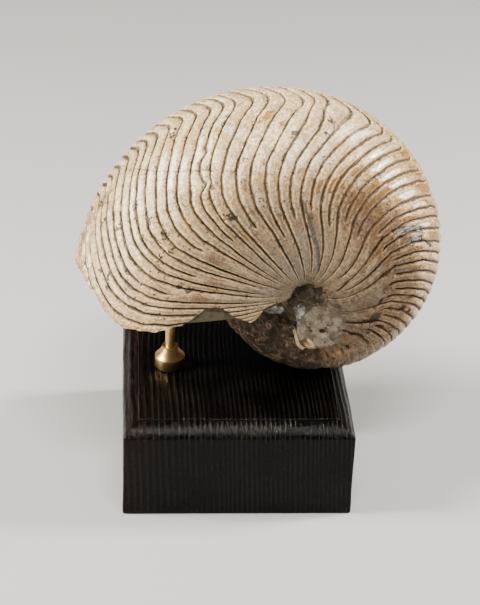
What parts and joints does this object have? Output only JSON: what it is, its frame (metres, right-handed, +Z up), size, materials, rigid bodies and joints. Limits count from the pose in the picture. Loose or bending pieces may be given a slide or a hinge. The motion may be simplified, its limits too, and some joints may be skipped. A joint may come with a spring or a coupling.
{
  "type": "fossil cymatoceras nautiloid on a display stand",
  "caption": "Ribbed coiled fossil nautiloid standing on edge on a black wooden block, its overhanging end carried by a brass rod in a turned foot.",
  "frame": {"origin": "centre of the underside of the wooden base, on the surface it stands on", "axes": "+Z up; the coil lies in the X-Z plane, its opening towards -X and down; -Y is the front, where the better side faces"},
  "size_m": [0.1622, 0.106, 0.1754],
  "materials": {
    "fossil": "cream to tan petrified shell with brown rock in the grooves, satin with faint pearly patches",
    "brass": "satin turned brass",
    "black_wood": "black stain with open growth rings, semi-gloss"
  },
  "bodies": {
    "root": {"fossil_nautiloid": "fossil", "brass_rod": "brass", "brass_foot": "brass", "wooden_base": "black_wood"}
  },
  "joints": []
}
